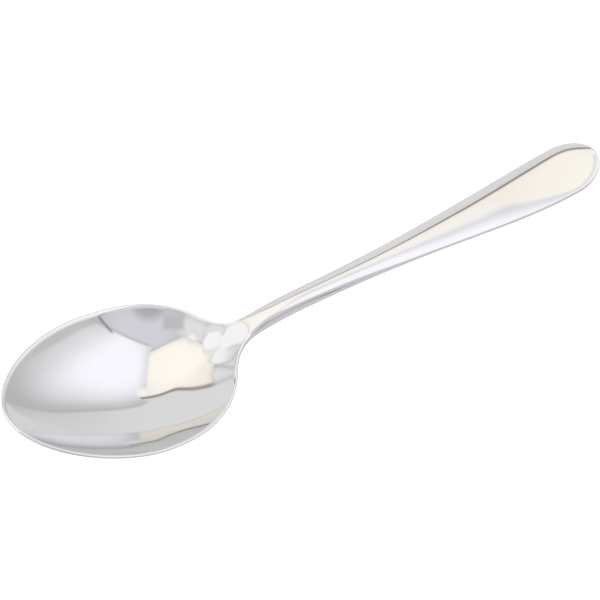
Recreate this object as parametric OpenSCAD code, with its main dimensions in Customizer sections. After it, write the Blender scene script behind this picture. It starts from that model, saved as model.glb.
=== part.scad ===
// Serving spoon in polished stainless steel, lying at rest on its belly and handle end.
// The spoon runs along X with the bowl's tip at -X. Z = 0 is the surface that it lies on.
// Every place along the spoon is measured from the bowl's tip.
// A rib is half of a section: it runs from the middle line over the top, round the edge
// and back to the middle line underneath. Ribs fan round the bowl and the handle end.

/* [Overall] */
// Length from the bowl's tip to the handle's end
overall_length = 210; // [185:1:250]

/* [Bowl outline] */
// Width of the bowl
bowl_width = 53.7; // [42:0.1:62]
// From the tip to the widest place
tip_to_widest = 38.5; // [32:0.5:46]
// From the widest place to the heel of the oval
widest_to_heel = 36.7; // [30:0.1:42]
// From the shoulder's start to the heel of the oval
shoulder_inset = 3.6; // [2:0.1:6]
// Length of the hollow shoulder curve that runs into the neck
shoulder_length = 16; // [12:0.1:24]

/* [Bowl depth] */
// Depth of the dish below the rim
bowl_depth = 10.6; // [8:0.1:20]
// From the tip to the deepest place
tip_to_deepest = 42.3; // [30:0.1:50]
// How far behind the heel the dish fades out into the neck
dish_runout = 21.6; // [14:0.1:32]
// Thickness of the metal in the middle of the bowl
bowl_thickness = 1.5; // [1:0.1:2.5]

/* [Rim] */
// Width of the rounded lip
rim_inset = 0.75; // [0.5:0.05:1.2]
// Rise of the lip above its widest line
rim_rise = 0.4; // [0.2:0.05:0.7]
// Drop of the lip below its widest line
rim_drop = 0.55; // [0.3:0.05:0.9]
// How far in the back of the bowl starts
rim_back_inset = 0.35; // [0.2:0.05:0.7]

/* [Handle outline] */
// Width of the neck
neck_width = 6.9; // [5:0.1:11]
// Width of the handle at its widest
blade_width = 17.9; // [13:0.1:26]
// Length of the round end beyond the widest place
cap_length = 12.4; // [8:0.1:18]

/* [Handle section] */
// Thickness of the neck
neck_thickness = 4; // [3:0.1:6]
// Thickness of the handle away from the neck
handle_thickness = 2.5; // [2:0.1:4]
// Rise of the neck's middle above its edges
neck_crown = 2.4; // [1.2:0.05:2.8]
// From the heel to where the neck's middle starts to rise out of the dish
crown_rise_lead = 11.3; // [7:0.1:15]
// Length over which the neck's middle rises out of the dish
crown_rise_length = 18.8; // [14:0.1:28]
// Rise of the handle's middle above its edges
handle_crown = 1.3; // [0.75:0.05:1.9]
// How far in the neck's edge rounding starts
neck_inset = 0.55; // [0.4:0.05:2]
// Height of the neck's edge rounding above and below
neck_round = 1.2; // [0.6:0.1:1.6]
// How far in the handle's edge rounding starts
handle_inset = 0.4; // [0.3:0.1:2]
// Height of the handle's edge rounding above and below
handle_round = 0.7; // [0.4:0.05:1]
// Length over which the neck's section turns into the handle's
section_length = 70; // [40:1:90]

/* [Side profile] */
// Slope of the rim at the tip
tip_slope = -0.3604; // [-0.5:0.0001:-0.25]
// Slope gained along the rim
rim_bend = 0.236; // [0.1:0.001:0.35]
// From the middle of the rim's bend to the heel
rim_bend_lead = 26; // [18:0.5:32]
// Length of the rim's bend
rim_bend_length = 52; // [34:1:64]
// Slope gained where the neck lifts
lift_bend = 0.355; // [0.2:0.001:0.5]
// From the heel to the middle of the lifting bend
lift_bend_lag = 1.2; // [0:0.1:4]
// Length of the lifting bend
lift_bend_length = 9.5; // [6:0.5:16]
// Slope lost where the neck turns over
turn_bend = 0.331; // [0.2:0.001:0.45]
// From the neck's start to the middle of the turning bend
turn_bend_lag = 2; // [0:0.5:6]
// Length of the turning bend
turn_bend_length = 30; // [16:0.5:38]
// Slope gained towards the handle's end
end_bend = 0.272; // [0:0.001:0.4]
// From the middle of the last bend to the handle's end
end_bend_lead = 13; // [0:0.5:30]
// Length of the last bend
end_bend_length = 74; // [40:1:90]

/* [Shape shares] */
// Power of the tip's oval
tip_power_share = 1.72; // [1.5:0.02:2.2]
// Root of the tip's oval
tip_root_share = 0.535; // [0.48:0.005:0.6]
// Power of the heel's oval
heel_power_share = 2.52; // [2:0.02:3]
// Root of the heel's oval
heel_root_share = 0.555; // [0.48:0.005:0.6]
// Power of the handle's round end
cap_power_share = 2.1; // [1.8:0.05:2.6]
// Root of the handle's round end
cap_root_share = 0.52; // [0.48:0.01:0.6]
// How late the handle widens
flare_share = 3.2; // [2:0.1:5]
// How straight the dish runs out into the neck: low is round and sudden, high is soft
dish_power_share = 3.25; // [1.5:0.05:4]
// Fullness of the bowl's walls
bowl_fullness_share = 0.09; // [0:0.01:0.5]
// Fullness of the crown: high is a flat middle with round sides
crown_fullness_share = 0.62; // [0:0.02:0.9]
// How much the ribs fan at the handle's round end
cap_fan_share = 0.62; // [0.4:0.02:0.8]
// How far the rounding's curve leads along the surface
surface_lead_share = 0.35; // [0.2:0.05:0.45]
// How far the rounding's curve leads up from the widest line
upper_lead_share = 0.6; // [0.4:0.05:0.8]
// How far the rounding's curve leads down from the widest line
lower_lead_share = 0.5; // [0.4:0.05:0.8]

/* [Hidden] */

// From the heel to where the bowl's section starts to turn into the neck's
blend_lead = 13;
// From the neck's start to the face where bowl and handle meet
joint_lag = 2;
// Length over which the ribs start to fan at the handle's end
cap_fan_length = 13;
// Step over which a slope is measured
slope_step = 0.01;

// Ribs from the tip to the widest place, on to the joint, along the handle and round its end
tip_ribs = 16;
heel_ribs = 28;
handle_ribs = 34;
cap_ribs = 10;
// Steps of a rib over the top, round each half of the edge, and underneath
top_steps = 7;
edge_steps = 3;
bottom_steps = 6;

// Places along the spoon
heel_x = tip_to_widest + widest_to_heel;
shoulder_x = heel_x - shoulder_inset;
neck_x = shoulder_x + shoulder_length;
joint_x = neck_x + joint_lag;
blend_x = heel_x - blend_lead;
fade_x = heel_x + dish_runout;
blade_x = overall_length - cap_length;

// Smooth step from 0 to 1, and its running sum
function held(u) = min(max(u, 0), 1);
function smooth(u) = held(u) * held(u) * (3 - 2 * held(u));
function smooth_sum(u) = pow(held(u), 3) - pow(held(u), 4) / 2 + max(u - 1, 0);
function mix(a, b, u) = a + (b - a) * u;

// Height gained at x by a bend of the given middle, length and slope change
function bent(x, middle, length, change) = change * length * smooth_sum((x - middle) / length + 1 / 2);

// Quarter of an oval: 1 at its middle and 0 at its end
function oval(u, power, root) = pow(1 - pow(held(u), power), root);

// Half width of the outline
function tip_half(x) = bowl_width / 2
    * oval((tip_to_widest - x) / tip_to_widest, tip_power_share, tip_root_share);
function heel_half(x) = bowl_width / 2
    * oval((x - tip_to_widest) / widest_to_heel, heel_power_share, heel_root_share);
shoulder_half = heel_half(shoulder_x);
shoulder_slope = (heel_half(shoulder_x) - heel_half(shoulder_x - slope_step)) / slope_step;
function shoulder_curve(u) = shoulder_half * (1 - smooth(u))
    + shoulder_slope * shoulder_length * u * (1 - u) * (1 - u)
    + neck_width / 2 * smooth(u);
function flare(u) = pow(u, flare_share) * (1 + flare_share * (1 - u));
function blade_half(x) = mix(neck_width, blade_width, flare((x - neck_x) / (blade_x - neck_x))) / 2;
function cap_half(x) = blade_width / 2 * oval((x - blade_x) / cap_length, cap_power_share, cap_root_share);
function half_width(x) =
    x <= tip_to_widest ? tip_half(x)
    : x <= shoulder_x ? heel_half(x)
    : x <= neck_x ? shoulder_curve((x - shoulder_x) / shoulder_length)
    : x <= blade_x ? blade_half(x)
    : cap_half(x);

// Height of the widest line along the rim and the handle's edge
function edge_z(x) = tip_slope * x
    + bent(x, heel_x - rim_bend_lead, rim_bend_length, rim_bend)
    + bent(x, heel_x + lift_bend_lag, lift_bend_length, lift_bend)
    - bent(x, neck_x + turn_bend_lag, turn_bend_length, turn_bend)
    + bent(x, overall_length - end_bend_lead, end_bend_length, end_bend);

// How far the section has turned from bowl to neck, and from neck to handle
function neck_part(x) = smooth((x - blend_x) / (joint_x - blend_x));
function handle_part(x) = smooth((x - neck_x) / section_length);
function along(x, bowl_size, neck_size, handle_size) =
    mix(bowl_size, neck_size, neck_part(x)) + (handle_size - neck_size) * handle_part(x);

// Middle line of the top and of the underside
function dish_depth(x) = bowl_depth * (
    x < tip_to_deepest
    ? 1 - pow((tip_to_deepest - x) / tip_to_deepest, 2)
    : pow(1 - pow(held((x - tip_to_deepest) / (fade_x - tip_to_deepest)), 2), dish_power_share));
function crown(x) = neck_crown * smooth((x - heel_x + crown_rise_lead) / crown_rise_length)
    + (handle_crown - neck_crown) * handle_part(x);
function top_z(x) = edge_z(x) - dish_depth(x) + crown(x);
function bottom_z(x) = top_z(x) - along(x, bowl_thickness, neck_thickness, handle_thickness);
function top_slope(x) = (top_z(x + slope_step) - top_z(x)) / slope_step;
function bottom_slope(x) = (bottom_z(x + slope_step) - bottom_z(x)) / slope_step;

// Where the rib of the outline's place x starts on the middle line
function rib_foot(x) = x
    - pow(bowl_width / 2 / tip_to_widest, 2) * (x - tip_to_widest) * (1 - neck_part(x))
    - bent(x, blade_x, cap_fan_length, cap_fan_share);

// The part of a section's rise that stays flat in the middle and comes late, near the edge.
// In the neck the dish keeps the bowl's fullness, and the rest takes the crown's.
function late_rise(x, foot, rise) = mix(
    bowl_fullness_share * rise,
    crown_fullness_share * rise + (bowl_fullness_share - crown_fullness_share) * dish_depth(foot),
    neck_part(x));

// Curve over half a section: it leaves the middle line at height z0 with slope0,
// and gains the rise by the edge's rounding after the given run
function span_points(run, z0, slope0, rise, late, steps) =
    [for (i = [0:steps])
        let (u = i / steps)
        [run * u, z0 + slope0 * run * u + (rise - late) * u * u + late * pow(u, 4)]];
function span_end_slope(run, slope0, rise, late) = slope0 + 2 * (rise + late) / run;

// Curve of the edge rounding between two points with two leads, without its first point
function rounding(a, b, c, d) =
    [for (i = [1:edge_steps])
        let (u = i / edge_steps, v = 1 - u)
        v * v * v * a + 3 * v * v * u * b + 3 * v * u * u * c + u * u * u * d];

// Lead of a rounding's curve along a surface of the given slope
function surface_lead(inset, rise, slope) =
    norm([inset, rise]) * surface_lead_share * [1, slope] / norm([1, slope]);

// From the rib's foot to the outline, along and across the spoon
function rib_reach(x) = [x - rib_foot(x), half_width(x)];

// Half section at the outline's place x, as [distance from the foot, height]
function rib_profile(x) =
    let (
        foot = rib_foot(x),
        run = norm(rib_reach(x)),
        lean = rib_reach(x)[0] / run,
        edge = edge_z(x),
        up = along(x, rim_rise, neck_round, handle_round),
        down = along(x, rim_drop, neck_round, handle_round),
        top_inset = along(x, rim_inset, neck_inset, handle_inset),
        bottom_inset = along(x, rim_back_inset, neck_inset, handle_inset),
        top_run = run - top_inset,
        bottom_run = run - bottom_inset,
        top_start = top_slope(foot) * lean,
        bottom_start = bottom_slope(foot) * lean,
        top_rise = edge + up - top_z(foot) - top_start * top_run,
        bottom_rise = edge - down - bottom_z(foot) - bottom_start * bottom_run,
        top_late = late_rise(x, foot, top_rise),
        bottom_late = late_rise(x, foot, bottom_rise),
        top_end = span_end_slope(top_run, top_start, top_rise, top_late),
        bottom_end = span_end_slope(bottom_run, bottom_start, bottom_rise, bottom_late),
        over = span_points(top_run, top_z(foot), top_start, top_rise, top_late, top_steps),
        under = span_points(bottom_run, bottom_z(foot), bottom_start, bottom_rise, bottom_late, bottom_steps),
        widest = [run, edge],
        upper = [top_run, edge + up],
        lower = [bottom_run, edge - down],
        upper_lead = surface_lead(top_inset, up, top_end),
        lower_lead = surface_lead(bottom_inset, down, bottom_end)
    )
    concat(
        over,
        rounding(upper, upper + upper_lead, widest + [0, up * upper_lead_share], widest),
        rounding(widest, widest - [0, down * lower_lead_share], lower + lower_lead, lower),
        [for (i = [1:bottom_steps]) under[bottom_steps - i]]
    );

// Places of the ribs
tip_places = [for (i = [0:tip_ribs]) tip_to_widest * (1 - cos(90 * i / tip_ribs))];
heel_places = [for (i = [1:heel_ribs]) mix(tip_to_widest, joint_x, i / heel_ribs)];
handle_places = [for (i = [0:handle_ribs]) mix(joint_x, blade_x, i / handle_ribs)];
cap_places = [for (i = [1:cap_ribs]) blade_x + cap_length * sin(90 * i / cap_ribs)];
bowl_places = concat(tip_places, heel_places);
handle_all_places = concat(handle_places, cap_places);
// Lowest point of all ribs, which is set down on Z = 0
floor_z = min([for (x = concat(bowl_places, handle_all_places)) each [for (p = rib_profile(x)) p[1]]]);

// Points of one rib in space
function rib(x) =
    let (
        foot = rib_foot(x),
        aim = rib_reach(x) / norm(rib_reach(x))
    )
    [for (p = rib_profile(x))
        [foot + aim[0] * p[0] - overall_length / 2, aim[1] * p[0], p[1] - floor_z]];

// Steps of a half section, and points of a whole one
half_steps = top_steps + 2 * edge_steps + bottom_steps;
ring_points = 2 * half_steps;

// A whole ring is a rib and its mirror image; an end rib closes on itself
function ring(points) = concat(
    points,
    [for (j = [1:half_steps - 1]) let (p = points[half_steps - j]) [p[0], -p[1], p[2]]]);
function folded(j) = j <= half_steps ? j : ring_points - j;

// Solid skin over the ribs at the given places, folded at its first or last rib
// and closed by a flat face at the other end
module skin(places, folded_first) {
    ribs = [for (x = places) rib(x)];
    last = len(places) - 1;
    flat = folded_first ? last : 0;
    centre = (ribs[flat][0] + ribs[flat][half_steps]) / 2;
    points = concat([for (r = ribs) each ring(r)], [centre]);
    centre_index = len(points) - 1;
    function at(i, j) =
        let (k = j % ring_points)
        i * ring_points + (i != flat && (i == 0 || i == last) ? folded(k) : k);
    sides = [for (i = [0:last - 1], j = [0:ring_points - 1])
        each [
            [at(i, j), at(i + 1, j + 1), at(i + 1, j)],
            [at(i, j), at(i, j + 1), at(i + 1, j + 1)]
        ]];
    face = [for (j = [0:ring_points - 1])
        folded_first
        ? [at(flat, j), at(flat, j + 1), centre_index]
        : [at(flat, j), centre_index, at(flat, j + 1)]];
    polyhedron(points, concat(sides, face));
}

// The oval dish with its lip, shoulders and the start of the neck
module bowl() {
    color("silver") skin(bowl_places, true);
}

// The crowned handle from the neck to its round end
module handle() {
    color("gainsboro") skin(handle_all_places, false);
}

bowl();
handle();
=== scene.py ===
"""Polished steel serving spoon: the looks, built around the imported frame.

All lengths are in metres. Places along the spoon are measured from the bowl's tip.
A rib is half of a section: it runs from the middle line over the top, round the edge
and back to the middle line underneath. Ribs fan round the bowl and the handle end.
"""

import math

import bpy
import numpy as np
from mathutils import Matrix, Vector


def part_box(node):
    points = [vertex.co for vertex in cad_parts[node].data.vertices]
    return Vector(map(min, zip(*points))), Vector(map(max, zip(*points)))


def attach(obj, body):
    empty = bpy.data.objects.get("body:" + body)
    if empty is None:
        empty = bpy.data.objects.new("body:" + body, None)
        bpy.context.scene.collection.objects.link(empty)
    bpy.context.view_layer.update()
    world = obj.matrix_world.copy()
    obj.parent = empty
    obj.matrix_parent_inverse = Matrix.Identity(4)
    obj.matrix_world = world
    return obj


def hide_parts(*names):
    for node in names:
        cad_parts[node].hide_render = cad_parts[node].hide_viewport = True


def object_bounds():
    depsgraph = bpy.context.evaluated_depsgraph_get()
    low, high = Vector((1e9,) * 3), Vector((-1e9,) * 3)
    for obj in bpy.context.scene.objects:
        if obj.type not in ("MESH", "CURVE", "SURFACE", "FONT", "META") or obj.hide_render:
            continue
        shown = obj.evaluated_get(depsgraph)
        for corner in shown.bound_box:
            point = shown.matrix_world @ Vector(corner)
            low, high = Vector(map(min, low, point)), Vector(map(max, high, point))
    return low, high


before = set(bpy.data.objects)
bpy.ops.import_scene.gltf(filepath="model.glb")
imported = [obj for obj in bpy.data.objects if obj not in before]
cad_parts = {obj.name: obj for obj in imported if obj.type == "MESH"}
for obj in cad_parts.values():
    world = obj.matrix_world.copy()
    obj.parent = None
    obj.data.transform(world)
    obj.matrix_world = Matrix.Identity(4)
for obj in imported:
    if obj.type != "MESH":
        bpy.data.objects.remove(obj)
cad_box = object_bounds()

MM = 0.001

# Sizes that the frame gives
OVERALL_LENGTH = cad_box[1].x - cad_box[0].x
BOWL_WIDTH = cad_box[1].y - cad_box[0].y
JOINT_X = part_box("bowl")[1].x - cad_box[0].x

# Bowl outline
TIP_TO_WIDEST = 38.5 * MM
WIDEST_TO_HEEL = 36.7 * MM
SHOULDER_INSET = 3.6 * MM
SHOULDER_LENGTH = 16 * MM
# Bowl depth
BOWL_DEPTH = 10.6 * MM
TIP_TO_DEEPEST = 42.3 * MM
DISH_RUNOUT = 21.6 * MM
BOWL_THICKNESS = 1.5 * MM
# Rim
RIM_INSET = 0.75 * MM
RIM_RISE = 0.4 * MM
RIM_DROP = 0.55 * MM
RIM_BACK_INSET = 0.35 * MM
# Handle outline
NECK_WIDTH = 6.9 * MM
BLADE_WIDTH = 17.9 * MM
CAP_LENGTH = 12.4 * MM
# Handle section
NECK_THICKNESS = 4 * MM
HANDLE_THICKNESS = 2.5 * MM
NECK_CROWN = 2.4 * MM
CROWN_RISE_LEAD = 11.3 * MM
CROWN_RISE_LENGTH = 18.8 * MM
HANDLE_CROWN = 1.3 * MM
NECK_INSET = 0.55 * MM
NECK_ROUND = 1.2 * MM
HANDLE_INSET = 0.4 * MM
HANDLE_ROUND = 0.7 * MM
SECTION_LENGTH = 70 * MM
# Side profile: slopes, and the places and lengths of its bends
TIP_SLOPE = -0.3604
RIM_BEND = 0.236
RIM_BEND_LEAD = 26 * MM
RIM_BEND_LENGTH = 52 * MM
LIFT_BEND = 0.355
LIFT_BEND_LAG = 1.2 * MM
LIFT_BEND_LENGTH = 9.5 * MM
TURN_BEND = 0.331
TURN_BEND_LAG = 2 * MM
TURN_BEND_LENGTH = 30 * MM
END_BEND = 0.272
END_BEND_LEAD = 13 * MM
END_BEND_LENGTH = 74 * MM
# Shape shares: the ovals have a power and a root
TIP_OVAL = (1.72, 0.535)
HEEL_OVAL = (2.52, 0.555)
CAP_OVAL = (2.1, 0.52)
FLARE = 3.2
DISH_POWER = 3.25
BOWL_FULLNESS = 0.09
CROWN_FULLNESS = 0.62
CAP_FAN = 0.62
SURFACE_LEAD = 0.35
UPPER_LEAD = 0.6
LOWER_LEAD = 0.5
# Blends
BLEND_LEAD = 13 * MM
CAP_FAN_LENGTH = 13 * MM
SLOPE_STEP = 0.01 * MM

# Places along the spoon
HEEL_X = TIP_TO_WIDEST + WIDEST_TO_HEEL
SHOULDER_X = HEEL_X - SHOULDER_INSET
NECK_X = SHOULDER_X + SHOULDER_LENGTH
BLEND_X = HEEL_X - BLEND_LEAD
FADE_X = HEEL_X + DISH_RUNOUT
BLADE_X = OVERALL_LENGTH - CAP_LENGTH

# Ribs and steps of the smooth skin, and the places where its lowest point is looked for
TIP_RIBS = 64
HEEL_RIBS = 110
HANDLE_RIBS = 120
CAP_RIBS = 40
TOP_STEPS = 28
EDGE_STEPS = 6
BOTTOM_STEPS = 20
REST_PLACES = 4000
MIRROR = np.array([1, -1, 1])
TINY = 1e-12

# Wear of the lip, as a share of the edge's steps, and of the places it rests on
WEAR = "wear"
LIP_WEAR = 0.6
LIP_WEAR_REACH = 0.8
REST_WEAR_HEIGHT = 0.6 * MM

# Steel: its tints and roughness, and what each kind of mark adds to them
STEEL_DARK = (0.688, 0.69, 0.697)
STEEL_LIGHT = (0.712, 0.713, 0.717)
STEEL_SCRATCH = (0.56, 0.56, 0.56)
SCRATCH_TINT = 0.25
ROUGH_LEAST = 0.045
ROUGH_MOST = 0.075
GRAIN_ROUGHNESS = 0.02
SCRATCH_ROUGHNESS = 0.12
WEAR_ROUGHNESS = 0.12
# Noises of the steel: scale in counts per metre, or 1 where the noise is stretched instead, then
# detail and roughness
CLOUD_NOISE = (55.0, 3.0, 0.5)
GRAIN_NOISE = (1.0, 3.0, 0.6)
HAIR_NOISE = (1.0, 1.0, 0.5)
PATCH_NOISE = (42.0, 1.0, 0.5)
WEAR_NOISE = (900.0, 4.0, 0.5)
WAVE_NOISE = (70.0, 1.0, 0.3)
# Where a change with a noise starts and ends
TINT_RAMP = (0.3, 0.7)
ROUGH_RAMP = (0.35, 0.75)
HAIR_RAMP = (0.74, 0.8)
PATCH_RAMP = (0.5, 0.68)
WEAR_RAMP = (0.35, 0.65)
# Sizes of the steel's marks
GRAIN_STRETCH = (6 * MM, 0.12 * MM, 0.5 * MM)
SCRATCH_WIDTH = 0.08 * MM
SCRATCH_STRETCH = (60 * SCRATCH_WIDTH, SCRATCH_WIDTH, 8 * SCRATCH_WIDTH)
SCRATCH_TURNS = (17, -38, 64, 104)
SCRATCH_DEPTH = 2.0
WAVE_HEIGHT = 0.005 * MM
GRAIN_HEIGHT = 0.0004 * MM

# Camera
CAMERA_AZIMUTH = 31.67
CAMERA_ELEVATION = 59.5
CAMERA_DISTANCE = 1.2
CAMERA_TARGET = Vector((-4.07, 0, 8.28)) * MM
CAMERA_SENSOR = 36
CAMERA_LENS = 236.3
CAMERA_NEAREST = 0.01
CAMERA_FARTHEST = 50

# Floor and backdrop
FLOOR_SIZE = 0.8
FLOOR_MATT = (0.85, 0.85, 0.85, 1)
FLOOR_GLOW = 1.36
FLOOR_SHADE = 0.1
BACKDROP_COLOUR = (1, 1, 1, 1)
BACKDROP_STRENGTH = 1.03

# Studio: a dome of light round the bowl. Its places are directions from the dome's centre, in
# degrees from straight up towards +X and +Y.
DOME_CENTRE = Vector((-60, 0, 8)) * MM
DOME_RADIUS = 4
DOME_SEGMENTS = 64
DOME_RINGS = 32
DOME_STRENGTH = 1.24

# Edges and lines in the studio. Each runs from its first to its second place, and the degrees
# beyond it count to its left, where a panel's inside is. The lens is the dark lens-shaped
# reflection of the camera's side in the bowl.
CREAM_LOWER = ((-27, -6.2), (8, -9.5))
CREAM_LOWER_LEFT = ((-34, -6.8), (-27, -6.2))
CREAM_LEFT = ((-20, 38), (-23.5, 0))
CREAM_LEFT_UPPER = ((-13, 61), (-20, 38))
WALL_LEFT = ((-20.9, 65.6), (2.3, 45))
WALL_RIGHT = ((10, 36.9), (32, 34.2))
COOL_LEFT = ((30.5, 27), (5.7, -13))
COOL_UPPER = ((80, 25.9), (40, 39.4))
COOL_LOWER = ((9, -16), (34, -41))
COOL_OUTER = ((41, -44), (86, -9))
LENS_END = ((-23, 10), (-23, -20))
LENS_EDGE = ((36, -51), (31, -34))
GAP_START = ((-12, 70), (-12, 0))
GAP_END = ((36, 0), (36, 60))
LOW_EDGE = ((6, -61), (30, -63))
# The corners of the dim patch, with its inside on the left
DIM_PATCH_CORNERS = ((-33, -20), (-18, -31), (-12, -21), (-26, -11))

# Rounds in the studio: a centre, and the degrees from it where a change starts and ends
CAMERA_SIDE_ROUND = ((8, -26), 8, 40)
CAMERA_SIDE_LEFT_ROUND = ((-31, -8), 4, 13)
CAMERA_SIDE_LOW_ROUND = ((-12, -50), 8, 22)
LOW_LINE_ROUND = ((19, -61), 12, 16)
LEFT_WALL_ROUND = ((-30, 15), 20, 60)
WALL_ROUND = ((12, 68), 10, 80)
CREAM_ROUND = ((0, 12), 12, 34)
COOL_ROUND = ((40, -12), 14, 52)
WARM_CORNER_ROUND = ((33, 29), 3, 9)
LENS_EDGE_ROUND = ((34, -43), 6, 7.5)

# Lines in the studio: degrees beyond an edge, half the line's width, and its softness
CREAM_LOWER_LINE = (0, 0.4, 1.2)
CREAM_LEFT_LINE = (-0.6, 0.3, 1.6)
COOL_LOWER_LINE = (-0.8, 0.4, 1.4)
COOL_UPPER_LINE = (-0.6, 0.5, 1.4)
LENS_EDGE_LINE = (0, 0.3, 0.8)
GAP_LINE = (-0.5, 0.6, 1.6)
LOW_LINE = (0, 1.2, 2.5)

# Ramps in the studio: the degrees beyond an edge where a change starts and ends, and for some
# the shares there. The wall's corner is rounded over some degrees.
WHITE_RAMP = (-1.2, 1.2)
CREAM_RAMP = (-0.8, 0.8)
WALL_RAMP = (-0.5, 0.5)
COOL_RAMP = (-1.2, 1.2)
DIM_PATCH_RAMP = (-2.5, 2)
WALL_GLOW_RAMP = (-10, -2)
CREAM_LEFT_RAMP = (-1, 1)
CREAM_LOWER_RAMP = (-3, 5, 0.2, 0.6)
COOL_LOWER_RAMP = (0, 3)
COOL_UPPER_RAMP = (0, -3)
GAP_RAMP = (-3, 2, 0.3, 1.0)
GAP_END_RAMP = (-1, 1)
WALL_CORNER = 6

# Shades in the studio: how much of the shade colour the panels and seams take on, and for a
# panel the degrees from its edge over which it fades out
CREAM_FADE = (0.25, 5)
COOL_FADE = (0.3, 10)
COOL_OUTER_FADE = (0.45, 22)
CREAM_LEFT_SHADE = 0.3
COOL_LOWER_SHADE = 0.6
COOL_UPPER_SHADE = 0.65

# Colours in the studio
CAMERA_SIDE_NEAR = (0.74, 0.73, 0.79)
CAMERA_SIDE_FAR = (0.61, 0.6, 0.6)
CAMERA_SIDE_LEFT = (0.84, 0.84, 0.84)
CAMERA_SIDE_LOW = (0.47, 0.47, 0.48)
DIM_PATCH_COLOUR = (0.58, 0.57, 0.61)
LOW_LINE_COLOUR = (0.36, 0.35, 0.34)
LEFT_WALL_NEAR = (1.04, 1.04, 1.04)
LEFT_WALL_FAR = (0.72, 0.72, 0.72)
WALL_NEAR = (0.79, 0.79, 0.785)
WALL_FAR = (0.56, 0.55, 0.55)
CREAM_NEAR = (1.12, 1.075, 0.975)
CREAM_FAR = (1.04, 0.965, 0.865)
COOL_NEAR = (1.08, 1.07, 1.13)
COOL_FAR = (0.56, 0.55, 0.56)
WARM_CORNER_COLOUR = (1.05, 1.02, 0.98)
LENS_EDGE_COLOUR = (0.15, 0.15, 0.17)
SHADE_COLOUR = (0.5, 0.49, 0.48)
GAP_COLOUR = (0.3, 0.27, 0.23)


def held(u):
    return np.clip(u, 0, 1)


def smooth(u):
    """Smooth step from 0 to 1."""
    v = held(u)
    return v * v * (3 - 2 * v)


def smooth_sum(u):
    """Running sum of the smooth step."""
    v = held(u)
    return v**3 - v**4 / 2 + np.maximum(u - 1, 0)


def mix(a, b, u):
    return a + (b - a) * u


def bent(x, middle, length, change):
    """Height gained at x by a bend of the given middle, length and slope change."""
    return change * length * smooth_sum((x - middle) / length + 0.5)


def oval(u, shape):
    """Quarter of an oval: 1 at its middle and 0 at its end."""
    power, root = shape
    return (1 - held(u) ** power) ** root


def heel_half(x):
    """Half width of the oval behind the bowl's widest place."""
    return BOWL_WIDTH / 2 * oval((x - TIP_TO_WIDEST) / WIDEST_TO_HEEL, HEEL_OVAL)


def shoulder_curve(u):
    """Hollow curve from the oval's side into the neck."""
    start = heel_half(SHOULDER_X)
    slope = (start - heel_half(SHOULDER_X - SLOPE_STEP)) / SLOPE_STEP
    v = held(u)
    return (
        start * (1 - smooth(v))
        + slope * SHOULDER_LENGTH * v * (1 - v) ** 2
        + NECK_WIDTH / 2 * smooth(v)
    )


def half_width(x):
    """Half width of the outline."""
    tip = BOWL_WIDTH / 2 * oval((TIP_TO_WIDEST - x) / TIP_TO_WIDEST, TIP_OVAL)
    flare = held((x - NECK_X) / (BLADE_X - NECK_X))
    widening = flare**FLARE * (1 + FLARE * (1 - flare))
    blade = mix(NECK_WIDTH, BLADE_WIDTH, widening) / 2
    cap = BLADE_WIDTH / 2 * oval((x - BLADE_X) / CAP_LENGTH, CAP_OVAL)
    shoulder = shoulder_curve((x - SHOULDER_X) / SHOULDER_LENGTH)
    return np.select(
        [x <= TIP_TO_WIDEST, x <= SHOULDER_X, x <= NECK_X, x <= BLADE_X],
        [tip, heel_half(x), shoulder, blade],
        cap,
    )


def edge_z(x):
    """Height of the widest line along the rim and the handle's edge."""
    return (
        TIP_SLOPE * x
        + bent(x, HEEL_X - RIM_BEND_LEAD, RIM_BEND_LENGTH, RIM_BEND)
        + bent(x, HEEL_X + LIFT_BEND_LAG, LIFT_BEND_LENGTH, LIFT_BEND)
        - bent(x, NECK_X + TURN_BEND_LAG, TURN_BEND_LENGTH, TURN_BEND)
        + bent(x, OVERALL_LENGTH - END_BEND_LEAD, END_BEND_LENGTH, END_BEND)
    )


def neck_part(x):
    """How far the section has turned from the bowl's to the neck's."""
    return smooth((x - BLEND_X) / (JOINT_X - BLEND_X))


def handle_part(x):
    """How far the section has turned from the neck's to the handle's."""
    return smooth((x - NECK_X) / SECTION_LENGTH)


def along(x, bowl_size, neck_size, handle_size):
    """A section's size at x, blended from bowl to neck to handle."""
    size = mix(bowl_size, neck_size, neck_part(x))
    return size + (handle_size - neck_size) * handle_part(x)


def dish_depth(x):
    """Depth of the middle line below the edges of the bowl."""
    front = 1 - held((TIP_TO_DEEPEST - x) / TIP_TO_DEEPEST) ** 2
    rear = (1 - held((x - TIP_TO_DEEPEST) / (FADE_X - TIP_TO_DEEPEST)) ** 2) ** DISH_POWER
    return BOWL_DEPTH * np.where(x < TIP_TO_DEEPEST, front, rear)


def crown(x):
    """Rise of the middle above the edges of the neck and handle."""
    rise = NECK_CROWN * smooth((x - HEEL_X + CROWN_RISE_LEAD) / CROWN_RISE_LENGTH)
    return rise + (HANDLE_CROWN - NECK_CROWN) * handle_part(x)


def top_z(x):
    return edge_z(x) - dish_depth(x) + crown(x)


def bottom_z(x):
    return top_z(x) - along(x, BOWL_THICKNESS, NECK_THICKNESS, HANDLE_THICKNESS)


def slope_of(height, x):
    return (height(x + SLOPE_STEP) - height(x)) / SLOPE_STEP


def rib_foot(x):
    """Where the rib of the outline's place x starts on the middle line."""
    lean = (BOWL_WIDTH / 2 / TIP_TO_WIDEST) ** 2 * (x - TIP_TO_WIDEST)
    return x - lean * (1 - neck_part(x)) - bent(x, BLADE_X, CAP_FAN_LENGTH, CAP_FAN)


def late_rise(x, foot, rise):
    """The part of a section's rise that stays flat in the middle and comes near the edge."""
    dish = (BOWL_FULLNESS - CROWN_FULLNESS) * dish_depth(foot)
    return mix(BOWL_FULLNESS * rise, CROWN_FULLNESS * rise + dish, neck_part(x))


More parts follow.
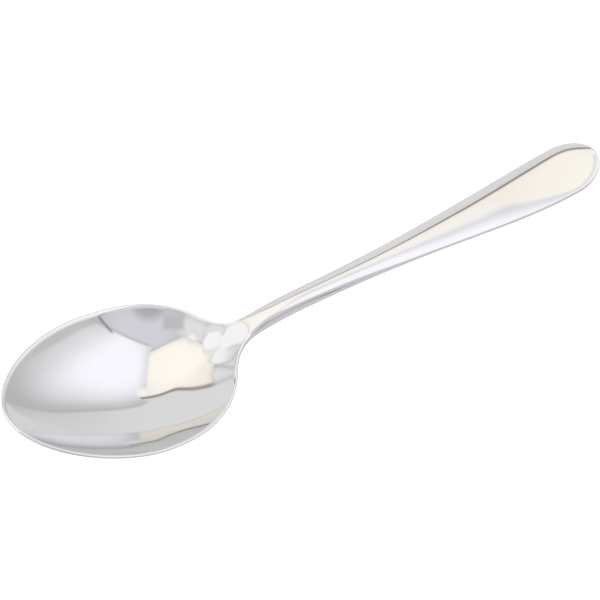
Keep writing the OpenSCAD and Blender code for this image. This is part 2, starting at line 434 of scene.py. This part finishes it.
def span(x, run, middle, lean, end_z, steps):
    """Curve over half a section, as (distance, height), and its slope at the end."""
    u = np.linspace(0, 1, steps + 1)[None, :]
    foot = rib_foot(x)
    start = slope_of(middle, foot) * lean
    rise = end_z - middle(foot) - start * run
    late = late_rise(x, foot, rise)
    distance = run[:, None] * u
    curve = (rise - late)[:, None] * u**2 + late[:, None] * u**4
    height = middle(foot)[:, None] + start[:, None] * distance + curve
    return np.stack([distance, height], -1), start + 2 * (rise + late) / run


def rounding(a, b, c, d):
    """Curve of the edge rounding between two points with two leads."""
    u = np.linspace(0, 1, EDGE_STEPS + 1)[None, :, None]
    v = 1 - u
    a, b, c, d = (p[:, None, :] for p in (a, b, c, d))
    return v**3 * a + 3 * v * v * u * b + 3 * v * u * u * c + u**3 * d


def surface_lead(inset, rise, slope):
    """Lead of a rounding's curve along a surface of the given slope."""
    size = np.hypot(inset, rise) * SURFACE_LEAD / np.hypot(1, slope)
    return np.stack([size, size * slope], -1)


def rib_side(x, run, lean, middle, inset, lift, upright_lead, steps):
    """One side of a rib: the span from the middle line, and the rounding on to the edge."""
    edge = edge_z(x)
    inner_run = run - inset
    curve, slope = span(x, inner_run, middle, lean, edge + lift, steps)
    start = np.stack([inner_run, edge + lift], -1)
    widest = np.stack([run, edge], -1)
    upright = np.stack([np.zeros_like(lift), lift * upright_lead], -1)
    lead = surface_lead(inset, lift, slope)
    return curve, rounding(start, start + lead, widest + upright, widest)


def rib_profiles(x, run, lean):
    """Half sections at the outline's places x, as (distance from the foot, height)."""
    rise = along(x, RIM_RISE, NECK_ROUND, HANDLE_ROUND)
    drop = along(x, RIM_DROP, NECK_ROUND, HANDLE_ROUND)
    top_inset = along(x, RIM_INSET, NECK_INSET, HANDLE_INSET)
    bottom_inset = along(x, RIM_BACK_INSET, NECK_INSET, HANDLE_INSET)
    over, outer = rib_side(x, run, lean, top_z, top_inset, rise, UPPER_LEAD, TOP_STEPS)
    under, inner = rib_side(x, run, lean, bottom_z, bottom_inset, -drop, LOWER_LEAD, BOTTOM_STEPS)
    return np.concatenate([over, outer[:, 1:], inner[:, -2::-1], under[:, -2::-1]], 1)


def rib_places():
    """Places of the ribs along the outline, closer together towards the round ends."""
    tip = TIP_TO_WIDEST * (1 - np.cos(np.linspace(0, math.pi / 2, TIP_RIBS + 1)))
    heel = np.linspace(TIP_TO_WIDEST, JOINT_X, HEEL_RIBS + 1)[1:]
    blade = np.linspace(JOINT_X, BLADE_X, HANDLE_RIBS + 1)[1:]
    cap = BLADE_X + CAP_LENGTH * np.sin(np.linspace(0, math.pi / 2, CAP_RIBS + 1))[1:]
    return np.concatenate([tip, heel, blade, cap])


def lowest_z():
    """Height of the lowest place underneath, before the spoon is set down."""
    return bottom_z(rib_foot(np.linspace(0, OVERALL_LENGTH, REST_PLACES))).min()


def rings():
    """Points of every whole section: ribs by ring points by 3, set down on the floor."""
    x = rib_places()
    foot = rib_foot(x)
    reach = np.stack([x - foot, half_width(x)], -1)
    run = np.linalg.norm(reach, axis=1)
    aim = reach / run[:, None]
    profile = rib_profiles(x, run, aim[:, 0])
    distance = profile[:, :, 0]
    half_x = foot[:, None] + aim[:, :1] * distance + cad_box[0].x
    half_y = aim[:, 1:] * distance
    half = np.stack([half_x, half_y, profile[:, :, 1] - lowest_z()], -1)
    return np.concatenate([half, half[:, -2:0:-1] * MIRROR], 1)


def along_slope(before, here, after):
    """Tangent at a point from its two neighbours, however unevenly they are spaced."""
    back = here - before
    on = after - here
    back_size = np.maximum(np.linalg.norm(back, axis=-1, keepdims=True), TINY)
    on_size = np.maximum(np.linalg.norm(on, axis=-1, keepdims=True), TINY)
    return on * back_size / on_size + back * on_size / back_size


def forward_slopes(points):
    """Tangents along the spoon, which run across it at its two ends."""
    wider = np.concatenate([points[1:2] * MIRROR, points, points[-2:-1] * MIRROR])
    forward = along_slope(wider[:-2], points, wider[2:])
    forward[0] = (0, 1, 0)
    forward[-1] = (0, -1, 0)
    return forward


def around_slopes(points):
    """Tangents round each ring."""
    around = along_slope(np.roll(points, 1, axis=1), points, np.roll(points, -1, axis=1))
    half = points.shape[1] // 2
    for end in (0, -1):
        around[end, 0] = points[end, 1] - points[end, 0]
        around[end, half] = points[end, half] - points[end, half - 1]
        # the far half of a folded ring runs back over the near half
        around[end, half + 1 :] *= -1
    return around


def ring_normals(points):
    """Unit normals of the whole skin at each ring point, pointing out of the metal."""
    normals = np.cross(forward_slopes(points), around_slopes(points))
    return normals / np.maximum(np.linalg.norm(normals, axis=2, keepdims=True), TINY)


def wear_of(points):
    """How worn each ring point is: most at the widest line and where the spoon rests."""
    step = np.minimum(np.arange(points.shape[1]), points.shape[1] - np.arange(points.shape[1]))
    from_edge = np.abs(step - (TOP_STEPS + EDGE_STEPS)) / EDGE_STEPS
    lip = 1 - smooth(from_edge / LIP_WEAR_REACH)
    rest = 1 - smooth(points[:, :, 2] / REST_WEAR_HEIGHT)
    return np.maximum(lip[None, :] * LIP_WEAR, rest)


def skin_faces(count, around, folded_first):
    """Faces over a count of rings, folded at one end. The last one is flat, at the joint."""
    half = around // 2
    last = count - 1
    flat = last if folded_first else 0

    def at(i, j):
        j = j % around
        if i != flat and i in (0, last) and j > half:
            j = around - j
        return i * around + j

    faces = [
        (at(i, j), at(i + 1, j), at(i + 1, j + 1), at(i, j + 1))
        for i in range(last)
        for j in range(around)
    ]
    ring = [at(flat, j) for j in range(around)]
    faces.append(ring[::-1] if folded_first else ring)
    return faces


def used_points(faces):
    """The points that the faces use, and the faces counted in those points alone."""
    used = sorted({v for face in faces for v in face})
    place = {v: i for i, v in enumerate(used)}
    return used, [[place[v] for v in face] for face in faces]


def set_normals(mesh, normals, around, folded_first):
    """Gives the mesh its smooth normals, and its flat last face one along the spoon."""
    corner = np.empty(len(mesh.loops), dtype=np.int32)
    mesh.loops.foreach_get("vertex_index", corner)
    directions = normals[corner]
    directions[-around:] = (1 if folded_first else -1, 0, 0)
    mesh.normals_split_custom_set(directions.tolist())


def skin_piece(name, points, normals, wear, folded_first):
    """A closed skin over some of the rings: folded at one end and flat at the joint."""
    count, around = points.shape[:2]
    used, faces = used_points(skin_faces(count, around, folded_first))
    mesh = bpy.data.meshes.new(name)
    mesh.from_pydata(points.reshape(-1, 3)[used].tolist(), [], faces)
    mesh.update()
    mesh.shade_smooth()
    set_normals(mesh, normals.reshape(-1, 3)[used], around, folded_first)
    layer = mesh.attributes.new(WEAR, "FLOAT", "POINT")
    layer.data.foreach_set("value", wear.reshape(-1)[used].astype(np.float32))
    piece = bpy.data.objects.new(name, mesh)
    bpy.context.scene.collection.objects.link(piece)
    return piece


class Graph:
    """Short ways to add nodes to a node tree."""

    def __init__(self, tree):
        self.tree = tree
        tree.nodes.clear()

    def node(self, kind, **settings):
        made = self.tree.nodes.new("ShaderNode" + kind)
        for setting, value in settings.items():
            setattr(made, setting, value)
        return made

    def put(self, socket, value):
        if isinstance(value, bpy.types.NodeSocket):
            self.tree.links.new(value, socket)
        else:
            socket.default_value = value

    def wired(self, kind, **values):
        """First output of a node whose inputs get values, by their names."""
        made = self.node(kind)
        for name, value in values.items():
            self.put(made.inputs[name.replace("_", " ")], value)
        return made.outputs[0]

    def math(self, operation, *values):
        made = self.node("Math", operation=operation)
        for socket, value in zip(made.inputs, values):
            self.put(socket, value)
        return made.outputs[0]

    def dot(self, place, vector):
        made = self.node("VectorMath", operation="DOT_PRODUCT")
        self.put(made.inputs[0], place)
        self.put(made.inputs[1], vector)
        return made.outputs["Value"]

    def step(self, value, start, end, low=0.0, high=1.0):
        """Smooth change from low to high as the value goes from start to end."""
        made = self.node("MapRange", interpolation_type="SMOOTHSTEP")
        for socket, given in zip(made.inputs, (value, start, end, low, high)):
            self.put(socket, given)
        return made.outputs[0]

    def mix(self, share, first, second):
        """A share of the second colour over the first."""
        made = self.node("Mix", data_type="RGBA")
        self.put(made.inputs["Factor"], share)
        for name, value in (("A", first), ("B", second)):
            socket = next(s for s in made.inputs if s.name == name and s.type == "RGBA")
            self.put(socket, value if isinstance(value, bpy.types.NodeSocket) else (*value, 1))
        return next(s for s in made.outputs if s.type == "RGBA")

    def blend(self, share, first, second):
        """A share of the second shader over the first."""
        made = self.node("MixShader")
        for socket, value in zip(made.inputs, (share, first, second)):
            self.put(socket, value)
        return made.outputs[0]

    def noise(self, place, settings):
        scale, detail, roughness = settings
        return self.wired("TexNoise", Vector=place, Scale=scale, Detail=detail, Roughness=roughness)

    def stretched(self, place, scale, turn):
        made = self.node("Mapping", vector_type="TEXTURE")
        self.put(made.inputs["Vector"], place)
        self.put(made.inputs["Rotation"], (0, 0, math.radians(turn)))
        self.put(made.inputs["Scale"], scale)
        return made.outputs[0]

    def surface(self, shader, kind="OutputMaterial"):
        """Joins the finished shader to the tree's output."""
        self.put(self.node(kind).inputs["Surface"], shader)


def new_material(name):
    """A material, and the graph of its nodes."""
    material = bpy.data.materials.new(name)
    material.use_nodes = True
    return material, Graph(material.node_tree)


def scratches(g, place, turn):
    """Fine straight scratches at a turn about Z, in patches."""
    lines = g.noise(g.stretched(place, SCRATCH_STRETCH, turn), HAIR_NOISE)
    hair = g.step(lines, *HAIR_RAMP)
    patch = g.step(g.noise(place, PATCH_NOISE), *PATCH_RAMP)
    return g.math("MULTIPLY", hair, patch)


def scratch_marks(g, place):
    """Scratches at all their turns."""
    marks = scratches(g, place, SCRATCH_TURNS[0])
    for turn in SCRATCH_TURNS[1:]:
        marks = g.math("MAXIMUM", marks, scratches(g, place, turn))
    return marks


def steel_tint(g, cloud, marks):
    """The steel's colour: a little cloudy, and duller in its scratches."""
    tint = g.mix(g.step(cloud, *TINT_RAMP), STEEL_DARK, STEEL_LIGHT)
    return g.mix(g.math("MULTIPLY", marks, SCRATCH_TINT), tint, STEEL_SCRATCH)


def steel_roughness(g, place, cloud, grain, marks):
    """The steel's roughness, higher in its grain, its scratches and where it is worn."""
    wear = g.node("Attribute", attribute_name=WEAR).outputs["Fac"]
    worn = g.math("MULTIPLY", wear, g.step(g.noise(place, WEAR_NOISE), *WEAR_RAMP))
    dull = g.step(cloud, *ROUGH_RAMP, ROUGH_LEAST, ROUGH_MOST)
    dull = g.math("MULTIPLY_ADD", grain, GRAIN_ROUGHNESS, dull)
    dull = g.math("MULTIPLY_ADD", marks, SCRATCH_ROUGHNESS, dull)
    return g.math("MULTIPLY_ADD", worn, WEAR_ROUGHNESS, dull)


def steel_relief(g, place, grain, marks):
    """The steel's slight waves, with its grain and scratches on them."""
    waves = g.noise(place, WAVE_NOISE)
    wave = g.wired("Bump", Strength=1, Distance=WAVE_HEIGHT, Height=waves)
    fine = g.math("MULTIPLY_ADD", marks, -SCRATCH_DEPTH, grain)
    return g.wired("Bump", Strength=1, Distance=GRAIN_HEIGHT, Height=fine, Normal=wave)


def polished_steel(name):
    """Mirror-polished stainless steel with polishing marks, fine scratches and wear."""
    material, g = new_material(name)
    place = g.node("TexCoord").outputs["Object"]
    cloud = g.noise(place, CLOUD_NOISE)
    grain = g.noise(g.stretched(place, GRAIN_STRETCH, 0), GRAIN_NOISE)
    marks = scratch_marks(g, place)
    tint = steel_tint(g, cloud, marks)
    dull = steel_roughness(g, place, cloud, grain, marks)
    relief = steel_relief(g, place, grain, marks)
    steel = g.wired("BsdfPrincipled", Base_Color=tint, Metallic=1, Roughness=dull, Normal=relief)
    g.surface(steel)
    return material


def seamless_floor():
    """A wide pale table with light of its own, so that it stays even to the horizon."""
    bpy.ops.mesh.primitive_plane_add(size=FLOOR_SIZE, location=(0, 0, 0))
    floor = bpy.context.object
    floor.name = "floor"
    material, g = new_material("pale_floor")
    matt = g.wired("BsdfDiffuse", Color=FLOOR_MATT)
    lit = g.blend(FLOOR_SHADE, g.wired("Emission", Strength=FLOOR_GLOW), matt)
    g.surface(g.blend(g.node("LightPath").outputs["Is Camera Ray"], matt, lit))
    floor.data.materials.append(material)


def direction(place):
    """Unit vector of a place on the dome, given in degrees from straight up."""
    tilt = math.hypot(*place)
    level = math.sin(math.radians(tilt)) / tilt
    return Vector((place[0] * level, place[1] * level, math.cos(math.radians(tilt))))


def beyond(g, place, edge):
    """Degrees to the left of an edge of a panel."""
    across = direction(edge[0]).cross(direction(edge[1])).normalized()
    return g.dot(place, across * math.degrees(1))


def within(g, place, *edges):
    """Degrees inside a panel with the given edges, negative outside it."""
    inside = beyond(g, place, edges[0])
    for edge in edges[1:]:
        inside = g.math("MINIMUM", inside, beyond(g, place, edge))
    return inside


def round_share(g, place, shape, low, high):
    """Smooth change from low inside a round to high outside it."""
    centre, near, far = shape
    start = math.cos(math.radians(near))
    end = math.cos(math.radians(far))
    return g.step(g.dot(place, direction(centre)), start, end, low, high)


def round_glow(g, place, shape, inner, outer):
    """Colour that changes from inner to outer with the degrees from a round's centre."""
    return g.mix(round_share(g, place, shape, 0.0, 1.0), inner, outer)


def line_share(g, distance, shape):
    """How much of a soft line shows at a distance from the edge that it follows."""
    middle, half, soft = shape
    away = g.math("ABSOLUTE", g.math("SUBTRACT", distance, middle))
    return g.step(away, half, half + soft, 1.0, 0.0)


def shaded(g, colour, shown, share):
    """A colour with a share of shade where the shade shows."""
    return g.mix(g.math("MULTIPLY", shown, share), colour, SHADE_COLOUR)


def faded(g, colour, distance, fade):
    """A panel's colour, which falls off towards its edge."""
    share, reach = fade
    return g.mix(g.step(distance, 0, reach, share, 0.0), colour, SHADE_COLOUR)


def low_line(g, place, colour):
    """The darker line low on the camera's side."""
    line = line_share(g, beyond(g, place, LOW_EDGE), LOW_LINE)
    near = round_share(g, place, LOW_LINE_ROUND, 1.0, 0.0)
    return g.mix(g.math("MULTIPLY", line, near), colour, LOW_LINE_COLOUR)


def dim_patch(g, place, colour):
    """The dim patch beside the middle of the camera's side."""
    edges = zip(DIM_PATCH_CORNERS, DIM_PATCH_CORNERS[1:] + DIM_PATCH_CORNERS[:1])
    return g.mix(g.step(within(g, place, *edges), *DIM_PATCH_RAMP), colour, DIM_PATCH_COLOUR)


def camera_side(g, place):
    """The dim side that the camera stands on."""
    colour = round_glow(g, place, CAMERA_SIDE_ROUND, CAMERA_SIDE_NEAR, CAMERA_SIDE_FAR)
    colour = round_glow(g, place, CAMERA_SIDE_LEFT_ROUND, CAMERA_SIDE_LEFT, colour)
    colour = round_glow(g, place, CAMERA_SIDE_LOW_ROUND, CAMERA_SIDE_LOW, colour)
    return dim_patch(g, place, low_line(g, place, colour))


def cream_shade(g, place, colour, above, left):
    """The soft shade along the cream panel's left and lower edges."""
    left_line = line_share(g, left, CREAM_LEFT_LINE)
    shown = g.math("MULTIPLY", left_line, g.step(above, *CREAM_LEFT_RAMP))
    colour = shaded(g, colour, shown, CREAM_LEFT_SHADE)
    share = g.step(beyond(g, place, LENS_END), *CREAM_LOWER_RAMP)
    return shaded(g, colour, line_share(g, above, CREAM_LOWER_LINE), share)


def cream_panel(g, place, colour, above):
    """The cream panel overhead, and the soft shade round its near edges."""
    left = within(g, place, CREAM_LEFT, CREAM_LEFT_UPPER)
    inside = g.math("MINIMUM", above, left)
    cream = round_glow(g, place, CREAM_ROUND, CREAM_NEAR, CREAM_FAR)
    cream = faded(g, cream, inside, CREAM_FADE)
    colour = g.mix(g.step(inside, *CREAM_RAMP), colour, cream)
    return cream_shade(g, place, colour, above, left)


def cool_light(g, place, inside, outer):
    """The cool panel's colour, warm in the corner where it meets the cream one."""
    cool = round_glow(g, place, COOL_ROUND, COOL_NEAR, COOL_FAR)
    cool = faded(g, cool, inside, COOL_FADE)
    cool = faded(g, cool, outer, COOL_OUTER_FADE)
    return round_glow(g, place, WARM_CORNER_ROUND, WARM_CORNER_COLOUR, cool)


def cool_seams(g, place, colour, right, lower):
    """The soft seams along the cool panel's lower and upper edges."""
    seam = line_share(g, lower, COOL_LOWER_LINE)
    seam = g.math("MULTIPLY", seam, g.step(right, *COOL_LOWER_RAMP))
    colour = shaded(g, colour, seam, COOL_LOWER_SHADE)
    seam = line_share(g, beyond(g, place, COOL_UPPER), COOL_UPPER_LINE)
    past_gap = g.step(beyond(g, place, GAP_END), *COOL_UPPER_RAMP)
    return shaded(g, colour, g.math("MULTIPLY", seam, past_gap), COOL_UPPER_SHADE)


def lens_edge(g, place, colour):
    """The short dark line on the border of the cool panel and the camera's side."""
    line = line_share(g, beyond(g, place, LENS_EDGE), LENS_EDGE_LINE)
    near = round_share(g, place, LENS_EDGE_ROUND, 1.0, 0.0)
    return g.mix(g.math("MULTIPLY", line, near), colour, LENS_EDGE_COLOUR)


def cool_panel(g, place, colour):
    """The cool panel on the right, with its seams and the dark line at its border."""
    right = beyond(g, place, COOL_LEFT)
    lower = beyond(g, place, COOL_LOWER)
    outer = beyond(g, place, COOL_OUTER)
    inside = g.math("MINIMUM", right, beyond(g, place, COOL_UPPER))
    cool = cool_light(g, place, inside, outer)
    inside = g.math("MINIMUM", inside, g.math("MINIMUM", lower, outer))
    colour = g.mix(g.step(inside, *COOL_RAMP), colour, cool)
    return lens_edge(g, place, cool_seams(g, place, colour, right, lower))


def gap_line(g, place, colour, wall):
    """The dark gap along the wall's edge, fainter at its two ends."""
    end = beyond(g, place, GAP_END)
    middle = g.math("MINIMUM", beyond(g, place, GAP_START), end)
    share = g.math("MULTIPLY", g.step(middle, *GAP_RAMP), g.step(end, *GAP_END_RAMP))
    gap = g.math("MULTIPLY", line_share(g, wall, GAP_LINE), share)
    return g.mix(gap, colour, GAP_COLOUR)


def dome_colour(g, place):
    """Colours of the panels and walls round the set."""
    above = g.math("MAXIMUM", beyond(g, place, CREAM_LOWER), beyond(g, place, CREAM_LOWER_LEFT))
    wall_edges = (beyond(g, place, WALL_LEFT), beyond(g, place, WALL_RIGHT))
    wall = g.math("SMOOTH_MIN", *wall_edges, WALL_CORNER)
    wall_colour = round_glow(g, place, WALL_ROUND, WALL_NEAR, WALL_FAR)
    white = round_glow(g, place, LEFT_WALL_ROUND, LEFT_WALL_NEAR, LEFT_WALL_FAR)
    white = g.mix(g.step(wall, *WALL_GLOW_RAMP), white, wall_colour)
    colour = g.mix(g.step(above, *WHITE_RAMP), camera_side(g, place), white)
    colour = cream_panel(g, place, colour, above)
    colour = g.mix(g.step(wall, *WALL_RAMP), colour, wall_colour)
    return gap_line(g, place, cool_panel(g, place, colour), wall)


def studio_dome():
    """Soft panels round a bright set, seen in the steel but not by the camera."""
    bpy.ops.mesh.primitive_uv_sphere_add(
        segments=DOME_SEGMENTS, ring_count=DOME_RINGS, radius=DOME_RADIUS, location=DOME_CENTRE
    )
    dome = bpy.context.object
    dome.name = "dome"
    dome.visible_camera = False
    material, g = new_material("dome_light")
    place = g.node("VectorMath", operation="NORMALIZE")
    g.put(place.inputs[0], g.node("TexCoord").outputs["Object"])
    colour = dome_colour(g, place.outputs["Vector"])
    g.surface(g.wired("Emission", Color=colour, Strength=DOME_STRENGTH))
    material.cycles.emission_sampling = "NONE"
    dome.data.materials.append(material)


def plain_world():
    """The even white that the camera sees behind the set."""
    world = bpy.data.worlds.new("studio")
    bpy.context.scene.world = world
    world.use_nodes = True
    g = Graph(world.node_tree)
    plain = g.wired("Background", Color=BACKDROP_COLOUR, Strength=BACKDROP_STRENGTH)
    g.surface(plain, "OutputWorld")


def photo_camera():
    """A long lens that looks down on the spoon from the side of its bowl."""
    a = math.radians(CAMERA_AZIMUTH)
    e = math.radians(CAMERA_ELEVATION)
    right = Vector((math.cos(a), -math.sin(a), 0))
    up = Vector((math.sin(a) * math.sin(e), math.cos(a) * math.sin(e), math.cos(e)))
    back = right.cross(up)
    lens = bpy.data.cameras.new("camera")
    lens.lens = CAMERA_LENS
    lens.sensor_width = CAMERA_SENSOR
    lens.clip_start = CAMERA_NEAREST
    lens.clip_end = CAMERA_FARTHEST
    camera = bpy.data.objects.new("camera", lens)
    turn = Matrix((right, up, back)).transposed()
    camera.matrix_world = Matrix.Translation(CAMERA_TARGET + back * CAMERA_DISTANCE) @ turn.to_4x4()
    bpy.context.scene.collection.objects.link(camera)
    bpy.context.scene.camera = camera


def spoon():
    """The two pieces of the spoon, with one smooth surface across their joint."""
    points = rings()
    normals = ring_normals(points)
    wear = wear_of(points)
    joint = TIP_RIBS + HEEL_RIBS
    pieces = (
        ("bowl", slice(0, joint + 1), True),
        ("handle", slice(joint, None), False),
    )
    for node, part, folded_first in pieces:
        piece = skin_piece(node + "_skin", points[part], normals[part], wear[part], folded_first)
        piece.data.materials.append(polished_steel(node + "_steel"))
        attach(piece, "root")
        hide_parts(node)


photo_camera()
seamless_floor()
studio_dome()
plain_world()
spoon()
bpy.context.scene.view_settings.view_transform = "Standard"
